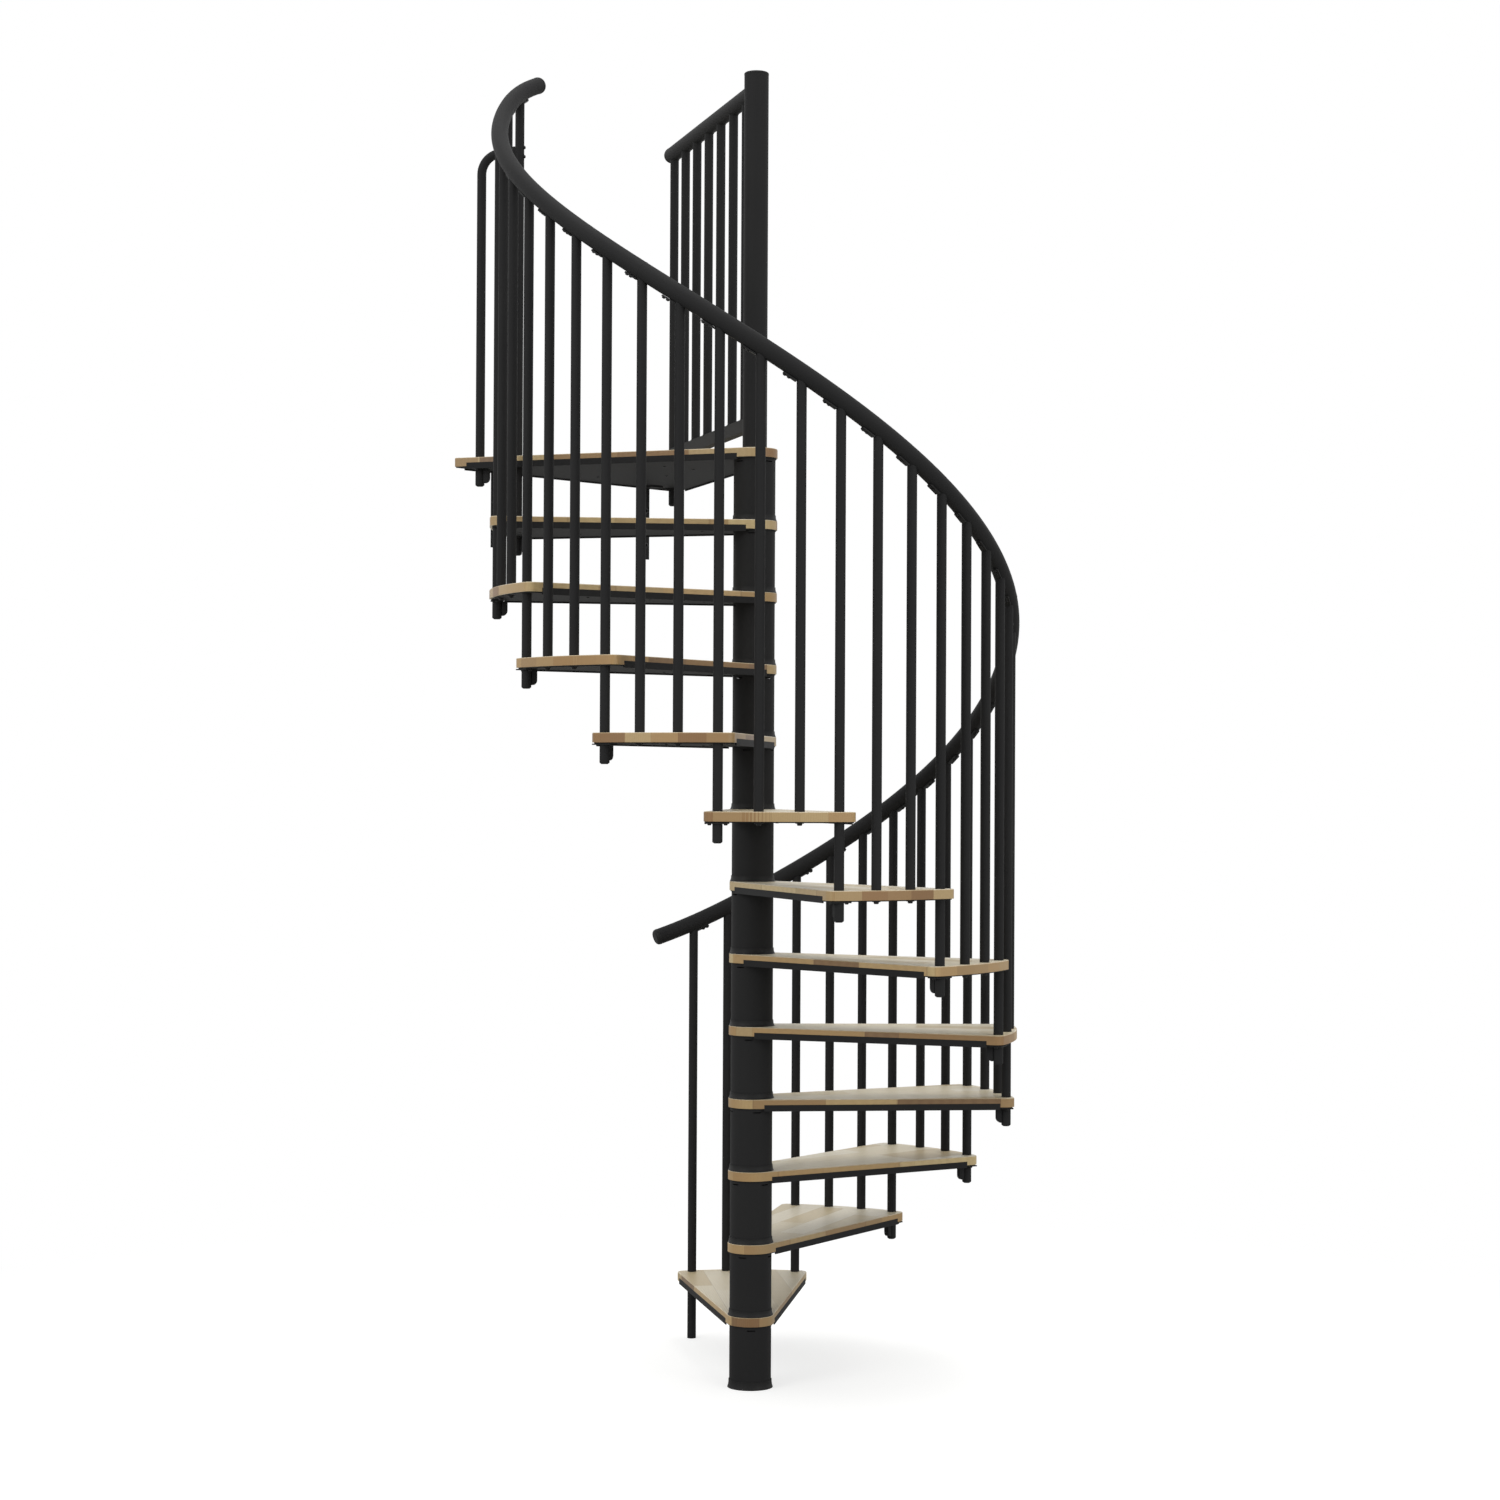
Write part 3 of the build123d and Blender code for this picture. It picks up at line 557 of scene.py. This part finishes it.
def grow(name, tree, places, sizes, finish):
    """Runs a tree on a list of places, each (point, axis, turn), and keeps the result as a plain mesh."""
    points, axes, turns = zip(*places)
    seat = bpy.data.meshes.new(name + "_places")
    seat.from_pydata(points, [], [])
    seat.attributes.new("axis", "FLOAT_VECTOR", "POINT")
    seat.attributes["axis"].data.foreach_set("vector", [part for axis in axes for part in axis])
    seat.attributes.new("turn", "FLOAT", "POINT")
    seat.attributes["turn"].data.foreach_set("value", turns)
    holder = bpy.data.objects.new(name + "_holder", seat)
    bpy.context.scene.collection.objects.link(holder)
    modifier = holder.modifiers.new("tree", "NODES")
    modifier.node_group = tree
    sockets = {item.name: item.identifier for item in tree.interface.items_tree if item.in_out == "INPUT"}
    for label, value in sizes.items():
        modifier[sockets[label]] = value
    modifier[sockets["Material"]] = finish
    graph = bpy.context.evaluated_depsgraph_get()
    mesh = bpy.data.meshes.new_from_object(holder.evaluated_get(graph))
    bpy.data.objects.remove(holder)
    mesh.name = name
    piece = bpy.data.objects.new(name, mesh)
    bpy.context.scene.collection.objects.link(piece)
    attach(piece, "root")


def grow_screws(name, places, head_radius, head_height, socket_radius,
                washer_radius=0.0, washer_thickness=0.0):
    """Grows one kind of socket screw, in blackened steel, on its places."""
    sizes = {
        "Head Radius": head_radius, "Head Height": head_height, "Socket Radius": socket_radius,
        "Washer Radius": washer_radius, "Washer Thickness": washer_thickness,
    }
    grow(name, screws, places, sizes, screw_steel)


def saddle_screws():
    """Two pan heads under each saddle's strap, uphill of its baluster, which hold it to the handrail."""
    half_pitch = 0.006
    places = []
    for step in range(bars_per_tread * tread_count + 1):
        pace = (rail_point(step + 0.5) - rail_point(step - 0.5)).length
        lean = rail_direction(step).cross(place(1.0, bar_bearing(step))).z
        middle = step + (bar_radius / lean + saddle_reach / 2.0) / pace
        along = rail_direction(middle)
        outward = place(1.0, bar_bearing(middle))
        normal = along.cross(outward).normalized()
        under = rail_point(middle) - normal * (rail_radius + saddle_gap + saddle_thickness)
        for offset in (-half_pitch, half_pitch):
            places.append((under + along * offset, -normal, 0.0))
    grow_screws("saddle_screws", places, head_radius=0.0042, head_height=0.0032, socket_radius=0.0019)


def bracket_sites():
    """Plan point, bearing and tread top of every bracket; the last two are the landing's."""
    sites = []
    for index in range(2, risers):
        bearing = bar_bearing(index * bars_per_tread)
        sites.append((place(bar_circle, bearing), bearing, index * rise))
    sites.append((place(landing_corner_bar, landing_rail_bearing), 0.0, storey))
    sites.append((place(safety_bar_circle, safety_bar_bearing), safety_bar_bearing, storey))
    return sites


def bracket_screws():
    """Two heads under each bracket's flange, one on each side of the bar."""
    screw_offset = 0.020
    socket_turn = radians(15.0)
    places = []
    for point, bearing, top in bracket_sites():
        under = top - board_thickness - tray_plate - bracket_plate
        sideways = place(screw_offset, bearing + 90.0)
        for side in (-1.0, 1.0):
            places.append((Vector((point.x, point.y, under)) + sideways * side, down, socket_turn * side))
    grow_screws("bracket_screws", places, head_radius=0.0048, head_height=0.0036, socket_radius=0.0022)


def bar_bolts():
    """A bolt and washer under the tray below each baluster that stands on a tread."""
    turn_per_step = 0.3
    places = []
    for index in range(1, tread_count + 1):
        for number in range(1, bars_per_tread):
            step = (index - 1) * bars_per_tread + number
            point = place(bar_circle, bar_bearing(step), tray_underside(index))
            places.append((point, down, turn_per_step * step))
    # The bar at the rear of the first tread ends on it too
    places.append((place(bar_circle, bar_bearing(bars_per_tread), tray_underside(1)), down, 0.0))
    grow_screws("baluster_bolts", places, head_radius=0.0065, head_height=0.0050, socket_radius=0.0030,
                washer_radius=0.0105, washer_thickness=0.0016)


def tray_screws():
    """Flat screws that hold each board down on its tray, seen from below."""
    turn_per_screw = 0.7
    tread_spread = 9.0
    landing_spread = 17.0
    # Radius and share of the spread to either side of the tray's middle line
    pattern = ((0.14, 0.0), (0.30, 0.6), (0.30, -0.6), (0.48, 0.8), (0.48, -0.8), (0.63, 0.0))
    places = []
    for index in range(1, risers + 1):
        landing = index == risers
        middle = 0.0 if landing else bar_bearing((index - 0.5) * bars_per_tread)
        spread = landing_spread if landing else tread_spread
        for radius, share in pattern:
            point = place(radius, middle + spread * share, tray_underside(index))
            places.append((point, down, turn_per_screw * len(places)))
    grow_screws("tray_screws", places, head_radius=0.0045, head_height=0.0018, socket_radius=0.0020)


def slab_bolts():
    """Anchor bolts with washers through the landing's two fixing plates, heads towards the stair."""
    socket_turn = 0.4
    face = slab_edge - fixing_plate_thickness
    places = []
    for side in (-1.0, 1.0):
        for number in range(2):
            level = storey - fixing_plate_drop + fixing_lowest_hole + number * fixing_hole_spacing
            point = Vector((side * fixing_plate_spacing / 2.0, face, level))
            places.append((point, Vector((0.0, -1.0, 0.0)), socket_turn))
    grow_screws("slab_bolts", places, head_radius=0.0080, head_height=0.0075, socket_radius=0.0042,
                washer_radius=0.0115, washer_thickness=0.0020)


def safety_bar_screws():
    """Two heads on the far side of the last joint baluster, which clamp the safety bar's flattened end."""
    half_pitch = 0.0125
    seat_depth = 0.0004
    socket_turn = 0.2
    bar = place(bar_circle, last_joint, storey + safety_bar_height)
    corner = place(safety_bar_circle, safety_bar_bearing, storey + safety_bar_height)
    inward = (bar - corner).normalized()
    places = []
    for lift in (-half_pitch, half_pitch):
        places.append((bar + inward * (bar_radius - seat_depth) + up * lift, inward, socket_turn))
    grow_screws("safety_bar_screws", places, head_radius=0.0048, head_height=0.0042, socket_radius=0.0022)


def landing_welds():
    """Beads where the landing's balusters meet the round top rail and stand on the bottom rail."""
    bead_radius = 0.0016
    # The bottom rail is flat on top, as a round of a very large radius would be
    flat_rail_radius = 50.0
    turn = radians(90.0 - landing_rail_bearing)
    pitch = (landing_corner_bar - landing_first_bar) / (landing_bars - 1)
    top_level = storey + landing_rail_height - rail_radius
    foot_level = storey + bottom_rail_top
    top_places = []
    foot_places = []
    for number in range(landing_bars):
        reach = landing_first_bar + number * pitch
        top_places.append((place(reach, landing_rail_bearing, top_level), down, -turn))
        foot_places.append((place(reach, landing_rail_bearing, foot_level), up, turn))
    # The corner bar passes the end of the bottom rail and has no bead there
    foot_places.pop()
    for name, places, radius in (
        ("landing_top_welds", top_places, rail_radius), ("landing_foot_welds", foot_places, flat_rail_radius),
    ):
        sizes = {"Ring Radius": bar_radius, "Bead Radius": bead_radius, "Rail Radius": radius}
        grow(name, welds, places, sizes, steel)


def rail_rings():
    """Thin nylon rings where the handrail's lengths meet and where the end plugs of both rails begin."""
    proud = 0.0005
    places = [(rail_point(step), rail_direction(step), 0.0) for step in rail_joints + (rail_start, rail_end)]
    reach = landing_corner_bar + landing_rail_overrun
    tip = place(reach, landing_rail_bearing, storey + landing_rail_height)
    places.append((tip, place(1.0, landing_rail_bearing), 0.0))
    sizes = {"Radius": rail_radius + proud, "Height": 0.0022, "Rounding": 0.0004}
    grow("rail_rings", bands, places, sizes, nylon)


def stub_plugs():
    """Nylon plugs in the lower ends of the bars that pass through the trays."""
    bar_rim = 0.0036
    places = []
    for point, bearing, top in bracket_sites():
        places.append((Vector((point.x, point.y, top - stub_drop)), down, 0.0))
    sizes = {"Radius": bar_radius - bar_rim, "Height": 0.0024, "Rounding": 0.0008}
    grow("stub_plugs", bands, places, sizes, nylon)


def pale_floor():
    """Matt pale paint that goes over to plain white away from the stair; the shadow on it stays."""
    shade_until = 1.2
    white_from = 3.0
    glow_share = 0.66
    material, tree = new_material("pale_floor")
    spot = node(tree, "ShaderNodeTexCoord").outputs["Object"]
    away = node(tree, "ShaderNodeVectorMath", {0: spot}, operation="LENGTH")
    far = node(tree, "ShaderNodeMapRange", {"Value": away, "From Min": shade_until, "From Max": white_from},
               interpolation_type="SMOOTHSTEP")
    seen = node(tree, "ShaderNodeLightPath").outputs["Is Camera Ray"]
    paint = node(tree, "ShaderNodeBsdfDiffuse", {"Color": linear("#BEBEBC")})
    lit = node(tree, "ShaderNodeMath", {0: seen, 1: glow_share}, operation="MULTIPLY")
    glow = node(tree, "ShaderNodeEmission", {"Color": white, "Strength": lit})
    near = node(tree, "ShaderNodeAddShader", {0: paint, 1: glow})
    plain = node(tree, "ShaderNodeEmission", {"Color": white, "Strength": 1.0})
    share = node(tree, "ShaderNodeMath", {0: far, 1: seen}, operation="MULTIPLY")
    mixed = node(tree, "ShaderNodeMixShader", {0: share, 1: near, 2: plain})
    node(tree, "ShaderNodeOutputMaterial", {"Surface": mixed})
    return material


def floor_sheet():
    """One large sheet under the stair."""
    half = 30.0
    mesh = bpy.data.meshes.new("floor")
    corners = [(-half, -half, 0.0), (half, -half, 0.0), (half, half, 0.0), (-half, half, 0.0)]
    mesh.from_pydata(corners, [], [(0, 1, 2, 3)])
    mesh.materials.append(pale_floor())
    floor = bpy.data.objects.new("floor", mesh)
    bpy.context.scene.collection.objects.link(floor)


def white_surround():
    """White where it is seen, mirrored or shone through, and a softer light on everything else."""
    ambient = 0.70
    world = bpy.data.worlds.new("white_surround")
    bpy.context.scene.world = world
    world.use_nodes = True
    tree = world.node_tree
    tree.nodes.clear()
    path = node(tree, "ShaderNodeLightPath").outputs
    bent = node(tree, "ShaderNodeMath", {0: path["Is Glossy Ray"], 1: path["Is Transmission Ray"]},
                operation="MAXIMUM")
    direct = node(tree, "ShaderNodeMath", {0: path["Is Camera Ray"], 1: bent}, operation="MAXIMUM")
    extra = node(tree, "ShaderNodeMath", {0: direct, 1: 1.0 - ambient}, operation="MULTIPLY")
    strength = node(tree, "ShaderNodeMath", {0: extra, 1: ambient}, operation="ADD")
    sky = node(tree, "ShaderNodeBackground", {"Color": white, "Strength": strength})
    node(tree, "ShaderNodeOutputWorld", {"Surface": sky})


def softboxes():
    """Three large square lamps, placed round the column from the viewer's side and aimed at its middle."""
    target = Vector((0.0, 0.0, 1.6))
    turn = Matrix.Rotation(radians(camera_azimuth), 4, "Z")
    # Name, place in metres, side in metres and power in watts
    lamps = (
        ("overhead_softbox", (0.0, -2.0, 15.0), 8.0, 600.0),
        ("left_softbox", (-8.5, -8.0, 6.0), 5.0, 300.0),
        ("right_softbox", (8.5, -7.5, 4.0), 5.0, 210.0),
    )
    for name, spot, side, power in lamps:
        light = bpy.data.lights.new(name, "AREA")
        light.shape = "SQUARE"
        light.size = side
        light.energy = power
        lamp = bpy.data.objects.new(name, light)
        bpy.context.scene.collection.objects.link(lamp)
        lamp.location = turn @ Vector(spot)
        lamp.rotation_euler = (target - lamp.location).to_track_quat("-Z", "Y").to_euler()


def camera():
    """The photograph's viewpoint."""
    lens = bpy.data.cameras.new("camera")
    lens.lens = camera_lens
    lens.sensor_width = 36.0
    lens.clip_end = 200.0
    viewer = bpy.data.objects.new("camera", lens)
    bpy.context.scene.collection.objects.link(viewer)
    round_stair = Matrix.Rotation(radians(camera_azimuth), 4, "Z")
    back = Matrix.Translation((0.0, -camera_distance, camera_height))
    yaw = Matrix.Rotation(radians(camera_yaw), 4, "Z")
    pitch = Matrix.Rotation(radians(90.0 + camera_pitch), 4, "X")
    roll = Matrix.Rotation(radians(camera_roll), 4, "Z")
    viewer.matrix_world = round_stair @ back @ yaw @ pitch @ roll
    bpy.context.scene.camera = viewer


camera()
floor_sheet()
white_surround()
softboxes()
dress_frame()
saddle_screws()
bracket_screws()
bar_bolts()
tray_screws()
slab_bolts()
safety_bar_screws()
landing_welds()
rail_rings()
stub_plugs()

bpy.context.scene.view_settings.view_transform = "Standard"
